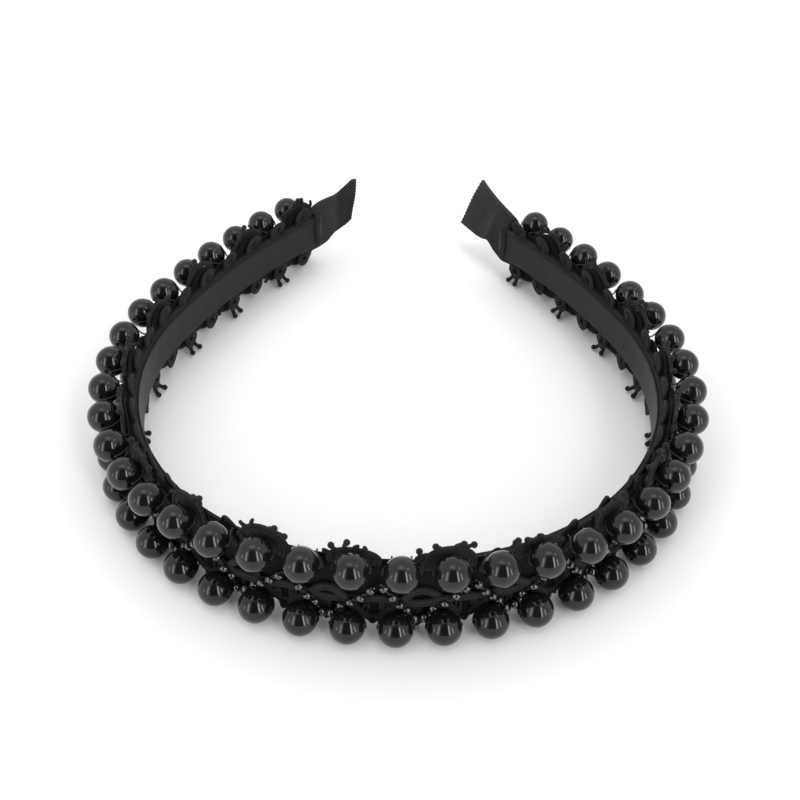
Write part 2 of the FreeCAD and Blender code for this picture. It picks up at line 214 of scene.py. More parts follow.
def lathe(profile, sides):
    # a template turned about its local Y axis; profile is (radius, along) in mm
    turn = np.linspace(0, 2 * np.pi, sides, endpoint=False)
    rad, along = profile[:, 0], profile[:, 1]
    grid = np.stack([rad[:, None] * np.cos(turn), np.repeat(along[:, None], sides, 1),
                     -rad[:, None] * np.sin(turn)], -1)
    return grid * mm


def scatter(template, centres, axes, closed=False):
    # copies of a lathe template: local X, Y, Z go to the rows of axes, the middle to centres
    grid = np.einsum("nmc,bcd->bnmd", template, axes) + centres[:, None, None, :]
    return skin(grid, closed)


def makePiece(name, shapes, material):
    counts = np.cumsum([0] + [len(shape["points"]) for shape in shapes])
    points = np.concatenate([shape["points"] for shape in shapes])
    faces = np.concatenate([shape["faces"] + start for shape, start in zip(shapes, counts)])
    uv = np.concatenate([shape["uv"] for shape in shapes])
    mesh = bpy.data.meshes.new(name)
    mesh.vertices.add(len(points))
    mesh.vertices.foreach_set("co", points.astype(np.float32).ravel())
    mesh.loops.add(faces.size)
    mesh.loops.foreach_set("vertex_index", faces.astype(np.int32).ravel())
    mesh.polygons.add(len(faces))
    mesh.polygons.foreach_set("loop_start", np.arange(0, faces.size, 4, dtype=np.int32))
    mesh.update(calc_edges=True)
    mesh.uv_layers.new(name="lay").data.foreach_set("uv", uv.astype(np.float32).ravel())
    mesh.polygons.foreach_set("use_smooth", np.ones(len(faces), bool))
    mesh.validate()
    piece = bpy.data.objects.new(name, mesh)
    bpy.context.scene.collection.objects.link(piece)
    mesh.materials.append(material)
    print(name, len(points), "points")
    return piece


# ---- materials ----

class Feed:
    # a value on its way through a material; arithmetic on it adds Math nodes
    def __init__(self, paint, socket):
        self.paint, self.socket = paint, socket

    def calc(self, operation, first, second=0.0):
        return self.paint.add("ShaderNodeMath", {"operation": operation}, {0: first, 1: second})

    def __add__(self, other):
        return self.calc("ADD", self, other)

    def __sub__(self, other):
        return self.calc("SUBTRACT", self, other)

    def __rsub__(self, other):
        return self.calc("SUBTRACT", other, self)

    def __mul__(self, other):
        return self.calc("MULTIPLY", self, other)

    def sine(self):
        return self.calc("SINE", self)

    def size(self):
        return self.calc("ABSOLUTE", self)

    def held(self):
        return self.paint.add("ShaderNodeClamp", {}, {0: self})

    __radd__, __rmul__ = __add__, __mul__


class Paint:
    # one material and the nodes that feed its shader
    def __init__(self, name, **constants):
        self.material = bpy.data.materials.new(name)
        self.material.use_nodes = True
        self.tree = self.material.node_tree
        self.shader = self.tree.nodes["Principled BSDF"]
        for key, value in constants.items():
            self.shader.inputs[key.replace("_", " ")].default_value = value

    def add(self, kind, settings, sockets, out=0):
        node = self.tree.nodes.new(kind)
        for key, value in settings.items():
            setattr(node, key, value)
        for key, value in sockets.items():
            if isinstance(value, Feed):
                self.tree.links.new(value.socket, node.inputs[key])
            else:
                node.inputs[key].default_value = value
        return Feed(self, node.outputs[out])

    def lay(self, axis):
        # the piece's own map: 0 the length along in cm, 1 the way round or across
        uv = self.add("ShaderNodeUVMap", {"uv_map": "lay"}, {})
        return self.add("ShaderNodeSeparateXYZ", {}, {0: uv}, out=axis)

    def noise(self, scale, detail):
        where = self.add("ShaderNodeTexCoord", {}, {}, out="Object")
        return self.add("ShaderNodeTexNoise", {}, {"Vector": where, "Scale": scale, "Detail": detail})

    def blendColour(self, share, first, second):
        return self.add("ShaderNodeMix", {"data_type": "RGBA"}, {0: share, 6: first, 7: second}, out=2)

    def feed(self, socket, value):
        self.tree.links.new(value.socket, self.shader.inputs[socket])

    def dot(self, first, second):
        return self.add("ShaderNodeVectorMath", {"operation": "DOT_PRODUCT"},
                        {0: first, 1: tuple(second)}, out=1)

    def bump(self, height, strength, distance):
        self.feed("Normal", self.add("ShaderNodeBump", {}, {"Height": height, "Strength": strength,
                                                            "Distance": distance * mm}))


class Sky(Paint):
    # the world, with the same arithmetic as a material
    def __init__(self, name):
        self.world = bpy.data.worlds.new(name)
        self.world.use_nodes = True
        self.tree = self.world.node_tree
        self.shader = self.tree.nodes["Background"]


def shade(r, g, b):
    return (r, g, b, 1.0)


def beadLacquer():
    # deep black lacquer with faint rub marks and a slightly uneven gloss
    paint = Paint("beadLacquer", Coat_Weight=0.06, Coat_Roughness=0.03, IOR=1.44)
    rub = paint.noise(900.0, 2.0)
    cloud = paint.noise(180.0, 3.0)
    paint.feed("Roughness", cloud * 0.07 + 0.055)
    paint.feed("Base Color", paint.blendColour(cloud, shade(0.004, 0.004, 0.005),
                                               shade(0.009, 0.009, 0.011)))
    paint.bump(rub, 0.02, 0.05)
    return paint.material


def seedGlass():
    # opaque black seed glass, a little softer in gloss than the big beads
    paint = Paint("seedGlass", IOR=1.9)
    cloud = paint.noise(700.0, 2.0)
    paint.feed("Roughness", cloud * 0.08 + 0.07)
    paint.feed("Base Color", paint.blendColour(cloud, shade(0.005, 0.005, 0.006),
                                               shade(0.011, 0.011, 0.012)))
    paint.bump(cloud, 0.06, 0.05)
    return paint.material


def gimpYarn():
    # cord wrapped in fine yarn: slanting ridges round the cord, brown-black where it is worn
    paint = Paint("gimpYarn", Sheen_Weight=0.05, Sheen_Roughness=0.6, IOR=1.4, Specular_IOR_Level=0.35)
    slant = paint.lay(0) * 150.0 + paint.lay(1) * 6.2832
    ridge = slant.sine() * 0.5 + 0.5
    fuzz = paint.noise(2600.0, 3.0)
    wear = paint.noise(160.0, 2.0)
    paint.feed("Base Color", paint.blendColour(wear * 0.6 + ridge * 0.3, shade(0.003, 0.0027, 0.0028),
                                               shade(0.0135, 0.0108, 0.0094)))
    paint.feed("Roughness", fuzz * 0.2 + 0.58)
    paint.bump(ridge + fuzz * 0.6, 0.55, 0.09)
    return paint.material


def satinWeave():
    # satin with long floats along the ribbon, fine lines and slow changes of gloss
    paint = Paint("satinWeave", Sheen_Weight=0.04, Sheen_Roughness=0.35, IOR=1.45, Specular_IOR_Level=0.22)
    line = (paint.lay(1) * 260.0).sine()
    floats = (paint.lay(0) * 420.0 + (paint.lay(1) * 130.0).sine() * 3.0).sine()
    cloud = paint.noise(60.0, 4.0)
    paint.feed("Base Color", paint.blendColour(cloud * 0.7 + line * 0.12 + 0.1, shade(0.006, 0.006, 0.0075),
                                               shade(0.011, 0.011, 0.0135)))
    paint.feed("Roughness", cloud * 0.14 + 0.40)
    paint.bump(line * 0.6 + floats * 0.4, 0.22, 0.05)
    return paint.material


def ribbedWeave():
    # grosgrain: the ribs are in the mesh, the fine filling threads run across them
    paint = Paint("ribbedWeave", Sheen_Weight=0.06, Sheen_Roughness=0.5, IOR=1.42, Specular_IOR_Level=0.25)
    filling = (paint.lay(0) * 190.0).sine()
    fuzz = paint.noise(1500.0, 3.0)
    cloud = paint.noise(90.0, 3.0)
    paintedStepShade = ((paint.lay(0) - 0.72) * 4.5).held()    # painted shade: almost black near the braid's end, standing in for the shadow in the step where the lining ends
    paint.feed("Base Color", paint.blendColour((cloud * 0.6 + filling * 0.1 + 0.4) * paintedStepShade,
                                               shade(0.002, 0.002, 0.0025), shade(0.022, 0.0215, 0.024)))
    paint.feed("Roughness", fuzz * 0.15 + 0.55)
    paint.bump(filling * 0.5 + fuzz * 0.5, 0.3, 0.06)
    return paint.material


def webCloth():
    # the braid's ground: coarse crossing yarns, almost black in the gaps
    paint = Paint("webCloth", Sheen_Weight=0.03, Sheen_Roughness=0.6, IOR=1.4, Specular_IOR_Level=0.15)
    warp = (paint.lay(0) * 84.0).sine().size()
    weft = (paint.lay(1) * 84.0).sine().size()
    fuzz = paint.noise(1900.0, 3.0)
    weave = warp * weft
    paint.feed("Base Color", paint.blendColour(weave, shade(0.0012, 0.001, 0.001),
                                               shade(0.006, 0.005, 0.0046)))
    paint.feed("Roughness", fuzz * 0.15 + 0.7)
    paint.bump(weave + fuzz * 0.3, 0.7, 0.12)
    return paint.material


def sewingThread():
    paint = Paint("sewingThread", Sheen_Weight=0.1, IOR=1.45)
    where = paint.add("ShaderNodeTexCoord", {}, {}, out="Object")
    ply = paint.add("ShaderNodeTexWave", {"wave_type": "BANDS", "bands_direction": "DIAGONAL"},
                    {"Vector": where, "Scale": 900.0, "Distortion": 1.5}, out=1)
    paint.feed("Base Color", paint.blendColour(ply, shade(0.004, 0.004, 0.004), shade(0.016, 0.014, 0.013)))
    paint.feed("Roughness", ply * 0.1 + 0.5)
    paint.bump(ply, 0.4, 0.05)
    return paint.material


def mouldedCore():
    paint = Paint("mouldedCore", IOR=1.46)
    grain = paint.noise(1200.0, 4.0)
    paint.feed("Base Color", paint.blendColour(grain, shade(0.012, 0.012, 0.012), shade(0.02, 0.02, 0.02)))
    paint.feed("Roughness", grain * 0.2 + 0.45)
    paint.bump(grain, 0.15, 0.04)
    return paint.material


finish = {"round_bead": beadLacquer(), "seed_bead": seedGlass(), "gimp_cord": gimpYarn(),
          "satin_ribbon": satinWeave(), "grosgrain_ribbon": ribbedWeave(), "braid_ground": webCloth(),
          "thread": sewingThread(), "band_core": mouldedCore()}
slotOf = {part["node"]: part["material_slot"] for part in frame["record"]["subparts"]}
for nodeName, nodeObject in frame["nodes"].items():
    nodeObject.data.materials.clear()
    nodeObject.data.materials.append(finish[slotOf[nodeName]])
print("finishes mixed")


def rideWith(piece, part, kind):
    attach(piece, bodyOf[part])
    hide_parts(part + "_" + kind)


# ---- camera, floor and light ----

view = {"lens": 48.76, "distance": 0.28607, "elevation": 41.73, "azimuth": 0.127, "roll": 1.05,
        "ahead": 69.18, "side": 0.482, "height": 10.0}


def viewAxes():
    # unit vectors to the right, to the top and back towards the camera
    el, az, roll = (np.radians(view[key]) for key in ("elevation", "azimuth", "roll"))
    back = np.array([np.sin(az) * np.cos(el), -np.cos(az) * np.cos(el), np.sin(el)])
    right = unit(np.cross(-back, up))
    top = np.cross(back, right)
    return (np.cos(roll) * right + np.sin(roll) * top, np.cos(roll) * top - np.sin(roll) * right, back)


def setCamera():
    crown = onBand(0.0, 0.0, 0.0)
    target = crown + np.array([view["side"], view["ahead"], view["height"]]) * mm
    right, top, back = viewAxes()
    data = bpy.data.cameras.new("camera")
    data.lens, data.sensor_width, data.clip_start = view["lens"], 36.0, 0.01
    camera = bpy.data.objects.new("camera", data)
    place = Matrix.Identity(4)
    for column, axis in enumerate((right, top, back, target + back * view["distance"])):
        for row in range(3):
            place[row][column] = axis[row]
    camera.matrix_world = place
    bpy.context.scene.collection.objects.link(camera)
    bpy.context.scene.camera = camera


studio = {"floorSize": 6.0, "tent": 0.98, "gap": 0.94, "keyPower": 1.2, "keySize": 0.9,
          "keyPlace": (-0.25, 0.15, 0.9)}

# the light tent as a shiny ball shows it, in ball radii across and up from the ball's middle:
# each bright seam has its upper end, its lower end, its half width and its light
seams = ((0.21, 0.20, 0.31, -0.50, 0.030, 9.5), (0.40, 0.08, 0.53, -0.45, 0.024, 7.0),
         (-0.29, 0.17, -0.38, -0.40, 0.045, 4.4), (-0.53, 0.02, -0.60, -0.34, 0.035, 3.0))
# and each round patch its place, its half sizes and its light
patches = ((-0.04, 0.44, 0.15, 0.075, 2.0), (0.33, 0.36, 0.05, 0.05, 3.2))
# the dark gap where the camera stands: its half width at mid height and how that widens downwards,
# its upper and lower end, and how sharp its sides and ends are; then the sharpness of a seam's ends
darkGap = {"half": 0.20, "widen": 0.16, "top": 0.30, "foot": 0.75, "sides": 18.0, "topEdge": 14.0,
           "footEdge": 8.0, "seamTop": 10.0, "seamFoot": 7.0}


def tentLight(sky):
    # a ball reflects a direction at the point that faces halfway between it and the camera
    right, top, back = viewAxes()
    where = sky.add("ShaderNodeTexCoord", {}, {}, out="Generated")
    half = sky.add("ShaderNodeVectorMath", {"operation": "ADD"}, {0: where, 1: tuple(back)})
    half = sky.add("ShaderNodeVectorMath", {"operation": "NORMALIZE"}, {0: half})
    across, high = sky.dot(half, right), sky.dot(half, top)
    inside = ((darkGap["half"] - high * darkGap["widen"] - across.size()) * darkGap["sides"] + 0.5).held()
    inside = inside * ((darkGap["top"] - high) * darkGap["topEdge"] + 0.5).held()
    inside = inside * ((high + darkGap["foot"]) * darkGap["footEdge"] + 0.5).held()
    light = 1.0 - inside * studio["gap"]
    for x, y, x2, y2, wide, glow in seams:
        place = (across - x - (high - y) * ((x2 - x) / (y2 - y))) * (1 / wide)
        drop = place * place * -1.0
        band = drop.calc("EXPONENT", drop)
        band = band * ((y - high) * darkGap["seamTop"] + 0.5).held()
        band = band * ((high - y2) * darkGap["seamFoot"] + 0.5).held()
        light = light + band * glow
    for x, y, wide, tall, glow in patches:
        place = (across - x) * (1 / wide)
        rise = (high - y) * (1 / tall)
        drop = (place * place + rise * rise) * -1.0
        light = light + drop.calc("EXPONENT", drop) * glow
    # seen directly, the tent is plain white
    direct = sky.add("ShaderNodeLightPath", {}, {}, out="Is Camera Ray")
    return (light * studio["tent"]) * (1.0 - direct) + direct


def keyLight():
    # one soft lamp above and behind, which beads don't mirror
    data = bpy.data.lights.new("keyLight", "AREA")
    data.shape, data.size, data.size_y = "RECTANGLE", studio["keySize"], studio["keySize"]
    data.energy = studio["keyPower"]
    lamp = bpy.data.objects.new("keyLight", data)
    lamp.location = studio["keyPlace"]
    lamp.rotation_euler = Vector(studio["keyPlace"]).to_track_quat("Z", "Y").to_euler()
    lamp.visible_glossy = False
    bpy.context.scene.collection.objects.link(lamp)


def setStudio():
    side = studio["floorSize"] / 2
    mesh = bpy.data.meshes.new("floor")
    mesh.from_pydata([(-side, -side, 0), (side, -side, 0), (side, side, 0), (-side, side, 0)], [],
                     [(0, 1, 2, 3)])
    floor = bpy.data.objects.new("floor", mesh)
    bpy.context.scene.collection.objects.link(floor)
    paint = Paint("floorPaper", Roughness=0.6)
    grain = paint.noise(30.0, 2.0)
    paint.feed("Base Color", paint.blendColour(grain, shade(0.91, 0.91, 0.91), shade(0.93, 0.93, 0.93)))
    mesh.materials.append(paint.material)
    sky = Sky("lightTent")
    bpy.context.scene.world = sky.world
    sky.shader.inputs["Color"].default_value = (1, 1, 1, 1)
    sky.feed("Strength", tentLight(sky))
    keyLight()
    bpy.context.scene.view_settings.view_transform = "Standard"


setCamera()
setStudio()
print("camera and studio set")


# ---- big beads ----

bead = {"rings": 22, "sides": 32, "lip": 0.22, "tilt": 0.12}


def beadTemplate():
    # outside: a half circle from bore to bore with a small rolled lip; inside: the bore's wall
    radius, bore, lip = beadRows["radius"], beadRows["bore"], bead["lip"]
    edge = np.arcsin((bore + lip) / radius)
    arc = np.linspace(edge, np.pi - edge, bead["rings"])
    outer = np.stack([radius * np.sin(arc), -radius * np.cos(arc)], -1)
    rim = outer[-1, 1] - lip * 0.35
    inner = np.array([[bore, rim], [bore, rim * 0.5], [bore, 0.0], [bore, -rim * 0.5], [bore, -rim]])
    return lathe(np.concatenate([outer, inner]), bead["sides"])


def bandAxes(run, tilt):
    # local X outwards, Y along the run and Z up, both turned by a small tilt about X
    outward = outwardAt(run)
    along = np.cross(up, outward)
    lift = np.broadcast_to(up, outward.shape)
    c, s = np.cos(tilt)[..., None], np.sin(tilt)[..., None]
    return np.stack([outward, c * along + s * lift, c * lift - s * along], -2)


def makeBeads():
    template = beadTemplate()
    for part in reach:
        index = beadsOn(part)
        run = beadRows["middleRun"] + index * beadRows["pitch"]
        for row, rowRun, height in (("upper", run, upperHeight(run)),
                                    ("lower", run - beadRows["lowerLag"], lowerHeight)):
            centres = onBand(rowRun, 0.0, height)
            tilt = dice.uniform(-bead["tilt"], bead["tilt"], len(run))
            shape = scatter(template, centres, bandAxes(rowRun, tilt), closed=True)
            piece = makePiece(row + "Beads" + part.capitalize(), [shape], finish["round_bead"])
            rideWith(piece, part, row + "_beads")


makeBeads()


# ---- seed beads ----

# each leg from its upper to its lower end: runs from its bead in pitches, stands and heights
seed = {"radius": 1.14, "length": 1.85, "bore": 0.42, "room": 0.4, "roomReach": 2.5, "rim": 0.3,
        "perLeg": 5, "rings": 6, "sides": 10, "wobble": 0.16, "thread": 0.22, "threadStand": -4.9,
        "threadRings": 33, "scatter": (0.006, 0.06, 0.14),
        "fall": ((-0.37, -3.0, 14.3), (-0.19, -2.9, 11.4), (-0.02, -3.0, 8.8), (0.14, -3.4, 6.6),
                 (0.295, -2.6, 4.6)),
        "rise": ((0.37, -3.0, 13.5), (0.16, -2.9, 11.2), (-0.07, -3.0, 8.8), (-0.30, -3.5, 6.6),
                 (-0.495, -2.6, 4.7))}


def seedTemplate():
    # a squat ball: the outside bulges as the root of 1 - way squared between two flat rims
    half, rim = seed["length"] / 2, seed["bore"] + seed["rim"]
    way = np.linspace(-1, 1, seed["rings"])
    bulge = rim + (seed["radius"] - rim) * np.sqrt(1 - way ** 2)
    outer = np.stack([bulge, way * half], -1)
    inner = np.array([[seed["bore"], half * 0.9], [seed["bore"], -half * 0.9]])
    return lathe(np.concatenate([outer, inner]), seed["sides"])


def makeSeeds():
    # legs fall behind the even beads and rise behind the odd ones, a little unevenly
    template = seedTemplate()
    for part in reach:
        index = beadsOn(part)
        run = beadRows["middleRun"] + index * beadRows["pitch"]
        leg = np.where((index % 2 == 0)[:, None, None], np.array(seed["fall"]), np.array(seed["rise"]))
        leg = leg + dice.normal(0, 1, leg.shape) * np.array(seed["scatter"])
        place = run[:, None] + leg[..., 0] * beadRows["pitch"]
        for side, sign in (("left", -1), ("right", 1)):     # room for the arm to flex
            near = np.abs(place - shoulder[side]) < seed["roomReach"]
            place += near * seed["room"] * (-sign if part == "crown" else sign)
        centres = onBand(place, leg[..., 1], leg[..., 2])
        ends = onBand(place[:, [0, -1]], seed["threadStand"], leg[:, [0, -1], 2])
        threads = np.concatenate([ends[:, :1], centres, ends[:, 1:]], 1)
        share = np.linspace(0, 1, seed["threadRings"])
        threads = np.stack([smoothEdge(path, share) for path in threads])
        facing = np.broadcast_to(outwardAt(run)[:, None], threads.shape)
        piece = makePiece("seedThreads" + part.capitalize(), [tubes(threads, facing, seed["thread"], 6)],
                          finish["thread"])
        rideWith(piece, part, "seed_threads")
        along = unit(np.gradient(centres, axis=1) + dice.normal(0, seed["wobble"], centres.shape) * mm * 2)
        centres, along = centres.reshape(-1, 3), along.reshape(-1, 3)
        outward = np.repeat(outwardAt(run), seed["perLeg"], 0)
        lift = unit(np.cross(outward, along))
        outward = np.cross(along, lift)
        shape = scatter(template, centres, np.stack([outward, along, lift], -2), closed=True)
        piece = makePiece("seedBeads" + part.capitalize(), [shape], finish["seed_bead"])
        rideWith(piece, part, "seed_beads")


makeSeeds()


# ---- threads that hold the big beads ----

# half of the thread from the bead's middle: run and stand
beadThread = {"radius": 0.2, "rings": 60,
              "path": ((0.0, 0.0), (2.0, 0.0), (3.7, 0.0), (4.02, -0.15), (4.1, -0.6), (3.75, -1.8),
                       (3.05, -2.9), (2.4, -3.9), (2.2, -5.0))}


def makeBeadThreads():
    # through the bore and down both sides of the bead into the braid
    half = np.array(beadThread["path"])
    knots = np.concatenate([half[:0:-1] * [-1, 1], half])
    whole = smoothEdge(knots, np.linspace(0, 1, beadThread["rings"]))
    for part in reach:
        index = beadsOn(part)
        run = beadRows["middleRun"] + index * beadRows["pitch"]
        shapes = []
        for rowRun, height in ((run, upperHeight(run)),
                               (run - beadRows["lowerLag"], lowerHeight + 0 * run)):
            paths = onBand(rowRun[:, None] + whole[:, 0], whole[:, 1], height[:, None])
            facing = np.broadcast_to(up, paths.shape)
            shapes.append(tubes(paths, facing, beadThread["radius"], 6))
        piece = makePiece("beadThreads" + part.capitalize(), shapes, finish["thread"])
        rideWith(piece, part, "bead_stitches")


makeBeadThreads()


# ---- cords of the braid ----

scallop = {"cords": 5, "step": 0.86, "halfWidth": 6.1, "foot": -1.4, "cord": 0.43, "sweep": 112.0,
           "wobble": 0.15, "lowCords": 4, "lowTop": 5.0, "lowFoot": 2.4, "lowHalf": 4.9, "room": 0.25,
           "plain": 3.4, "plainFoot": -3.9,
           "beads": (-9, -5, -3, -1, 1, 3, 5, 9), "tops": (4.4, 5.0, 4.2, 2.0, 3.4, 2.5, 4.2, 4.4)}


def tilted(points, run, height):
    # local (u, w, lift) of each arch to places on the band
    u, w, lift = points
    return onBand(run[:, None] + u, cordStand + lift, height[:, None] + w)


def archPath(run, height, left, right, rise, sweep, sign=1.0, count=27):
    # an arch: half ellipses of different half widths on the two sides, with a slow wobble
    angle = np.radians(np.linspace(-sweep, sweep, count))[None]
    wobble = sum(dice.normal(0, scallop["wobble"] / order, (len(run), 1))
                 * np.sin(order * angle + dice.uniform(0, 6.28, (len(run), 1))) for order in (1, 2, 3, 5))
    width = np.where(angle < 0, left[:, None], right[:, None])
    u = (width + wobble) * np.sin(angle)
    w = sign * (rise[:, None] + wobble) * np.cos(angle)
    lift = 0.25 * wobble + dice.uniform(-0.12, 0.12, (len(run), 1))
    return tilted((u, w, lift), run, height)


def cordsFrom(paths, run, radius, sides=7, closed=False):
    facing = np.broadcast_to(outwardAt(run)[:, None], paths.shape)
    return tubes(paths, facing, radius, sides, closed)


def shoulderRoom(index, wide):
    # an arch beside a shoulder keeps to its own half of the gap
    near = beadRows["pitch"] / 2 - scallop["room"]
    left = np.where(index == 5, near, wide)
    right = np.where(index == -5, near, wide)
    return left, right


def upperTop(index):
    # the arches' tops above the upper beads' centres
    return np.interp(index, scallop["beads"], scallop["tops"])


def pin(angle, foot, length, lean, sign, count=5):
    # a picot's stem: out from the arch at its angle, curling by lean
    share = np.linspace(0, 1, count)[None]
    reachOut = foot[:, None] + length[:, None] * share
    turn = np.radians(angle[:, None]) + np.radians(lean[:, None]) * share ** 2
    u = reachOut * np.sin(turn)
    w = sign * reachOut * np.cos(turn)
    return u, w


knob = {"radius": 0.78, "rings": 6, "sides": 9, "stem": 0.5, "length": 1.5,
        "upper": (-58.0, -24.0, 10.0, 44.0), "lower": (-50.0, -8.0, 48.0), "plain": 66.0, "plainFoot": 4.2}


def knobTemplate():
    way = np.radians(np.linspace(8, 172, knob["rings"] + 1))
    return lathe(np.stack([np.sin(way), -np.cos(way)], -1) * knob["radius"], knob["sides"])


def makePicots(run, height, angle, foot, sign, ballShare):
    # stems with a round knot, and bare curling stubs in between
    count = len(run)
    ball = dice.uniform(0, 1, count) < ballShare
    length = knob["length"] * dice.uniform(0.75, 1.25, count)
    u, w = pin(angle, foot, length, dice.uniform(-20, 20, count), sign)
    lift = dice.uniform(-0.3, 0.5, count)[:, None] * np.linspace(0, 1, u.shape[1])[None]
    paths = tilted((u, w, lift), run, height)
    stems = cordsFrom(paths, run, knob["stem"] * np.linspace(1.15, 0.85, u.shape[1]), 6)
    tip = paths[ball, -1]
    outward = outwardAt(run[ball])
    along = unit(paths[ball, -1] - paths[ball, -2])
    lift = unit(np.cross(outward, along))
    axes = np.stack([np.cross(along, lift), along, lift], -2)
    return [stems, scatter(knobTemplate(), tip, axes)]


def makeScallops():
    for part in reach:
        index = beadsOn(part)
        run = beadRows["middleRun"] + index * beadRows["pitch"]
        odd = index % 2 != 0
        height = upperHeight(run) + scallop["foot"]
        fan, name = [], part.capitalize()
        top = upperTop(index) - scallop["foot"] + dice.uniform(-0.35, 0.35, len(index))
        left, right = shoulderRoom(index, scallop["halfWidth"])
        for n in range(scallop["cords"]):
            inset = n * scallop["step"]
            path = archPath(run[odd], height[odd], left[odd] - inset, right[odd] - inset,
                            top[odd] - inset, scallop["sweep"] + 4 * n)
            fan.append(cordsFrom(path, run[odd], scallop["cord"]))
        for inset in (0.0, scallop["step"]):
            wide = np.full((~odd).sum(), scallop["plain"] - inset)
            foot = upperHeight(run[~odd]) + scallop["plainFoot"]
            path = archPath(run[~odd], foot, wide, wide, wide - 0.2, 105)
            fan.append(cordsFrom(path, run[~odd], scallop["cord"]))
        piece = makePiece("upperScallops" + name, fan, finish["gimp_cord"])
        rideWith(piece, part, "upper_scallop_cords")

        many = np.repeat(np.flatnonzero(odd), len(knob["upper"]))
        angle = np.tile(knob["upper"], odd.sum()) + dice.uniform(-9, 9, len(many))
        side = np.where(angle < 0, left[many], right[many])
        foot = 1 / np.hypot(np.sin(np.radians(angle)) / side, np.cos(np.radians(angle)) / top[many])
        pins = makePicots(run[many], height[many], angle, foot, 1.0, 0.62)
        plain = np.flatnonzero(~odd)
        facing = np.where(np.abs(index[plain]) == 4, -np.sign(index[plain]),
                          dice.choice([-1, 1], len(plain)))
        angle = knob["plain"] * facing + dice.uniform(-6, 6, len(plain))
        pins += makePicots(run[plain], height[plain], angle, np.full(len(plain), knob["plainFoot"]),
                           1.0, 1.0)
        piece = makePiece("upperPicots" + name, pins, finish["gimp_cord"])
        rideWith(piece, part, "upper_picots")

        even = ~odd
        height = np.full(len(index), lowerHeight + scallop["lowFoot"])
        fan = []
        for n in range(scallop["lowCords"]):
            inset = n * scallop["step"]
            # the arches next to a shoulder are narrower, clear of the arms' threads
            wide = scallop["lowHalf"] - inset - 0.4 * (np.abs(index[even]) == 4)
            drop = np.full(even.sum(), scallop["lowTop"] - inset)
            fan.append(cordsFrom(archPath(run[even], height[even], wide, wide, drop, 108, -1.0),
                                 run[even], scallop["cord"]))
        for inset in (0.0, scallop["step"]):
            wide = np.full(odd.sum(), scallop["plain"] - 0.3 - inset)
            fan.append(cordsFrom(archPath(run[odd], height[odd], wide, wide, wide, 105, -1.0),
                                 run[odd], scallop["cord"]))
        piece = makePiece("lowerScallops" + name, fan, finish["gimp_cord"])
        rideWith(piece, part, "lower_scallop_cords")

        many = np.repeat(np.flatnonzero(even), len(knob["lower"]))
        angle = np.tile(knob["lower"], even.sum()) + dice.uniform(-6, 6, len(many))
        foot = np.full(len(many), scallop["lowTop"] - 0.2)
        keep = np.abs(angle) > 20
        pins = makePicots(run[many][keep], height[many][keep], angle[keep], foot[keep], -1.0, 0.7)
        piece = makePiece("lowerPicots" + name, pins, finish["gimp_cord"])
        rideWith(piece, part, "lower_picots")


makeScallops()


# loops on the hair side: a leaning pair of ovals above the lining, a pair of rings below it
loops = {"stand": -6.9, "upper": (16.6, 17.2, 19.2), "upperBeads": (0, 3, 5), "long": 3.1, "short": 1.55,
         "lean": 48.0, "low": 4.7, "ring": 2.3, "inner": 1.0, "cord": 0.5}
# picots under the hair side, two to every second bead: from the ring's foot to the knot
hairPin = {"foot": (0.9, -6.8, 2.7), "tip": (1.7, -8.2, 1.3), "rings": 6, "stem": 0.55}
# cords wound over the lining's end
endCord = {"radius": 0.36, "count": 3, "step": 0.72, "top": 19.4, "foot": 7.2, "stand": -8.75, "rings": 24}


def loopPath(run, height, long, short, lean, count=22):
    # an ellipse leaned in the band's own plane, bowed a little towards the hair
    angle = np.linspace(0, 2 * np.pi, count, endpoint=False)[None]
    lean = np.radians(lean[:, None])
    a, b = long[:, None] * np.cos(angle), short[:, None] * np.sin(angle)
    u, w = a * np.cos(lean) - b * np.sin(lean), a * np.sin(lean) + b * np.cos(lean)
    stand = loops["stand"] - 0.25 * np.cos(angle * 2) + dice.uniform(-0.15, 0.1, (len(run), 1))
    return onBand(run[:, None] + u, stand, height[:, None] + w)


def hairPins(run):
    run = np.repeat(run, 2)
    sign = np.tile([-1.0, 1.0], len(run) // 2)
    share = np.linspace(0, 1, hairPin["rings"])[None]
    foot, tip = (np.array(hairPin[key]) + dice.normal(0, 0.25, (len(run), 3)) * [1, 1, 0]
                 for key in ("foot", "tip"))
    u, stand, height = ((1 - share) * foot[:, k, None] + share * tip[:, k, None] for k in range(3))
    height = height - 0.3 * np.sin(share * np.pi)      # the stems sag on their way
    paths = onBand(run[:, None] + sign[:, None] * u, stand, height)
    along = unit(paths[:, -1] - paths[:, -2])
    outward = outwardAt(run)
    lift = unit(np.cross(outward + 0.3 * up, along))
    axes = np.stack([np.cross(along, lift), along, lift], -2)
    facing = np.broadcast_to(up, paths.shape)
    return [tubes(paths, facing, hairPin["stem"], 7), scatter(knobTemplate(), paths[:, -1], axes)]


def endCords(side):
    # each hollows towards the band's middle as the lining's end does
    share = np.linspace(-1, 1, endCord["rings"])[None]
    number = np.arange(endCord["count"])[:, None]
    sign = 1 if side == "right" else -1
    away = 0.4 + (number - 1) * endCord["step"] * 0.9 - 0.9 * (1 - share ** 2)
    run = trimEnd[side] + sign * (away + dice.normal(0, 0.08, away.shape))
    middleOf, half = (endCord["top"] + endCord["foot"]) / 2, (endCord["top"] - endCord["foot"]) / 2
    stand = endCord["stand"] + 1.6 * np.abs(share) ** 9 - 0.12 * (number == 1)
    paths = onBand(run, stand, middleOf + half * share)
    return tubes(paths, np.broadcast_to(outwardAt(run), paths.shape), endCord["radius"], 8)


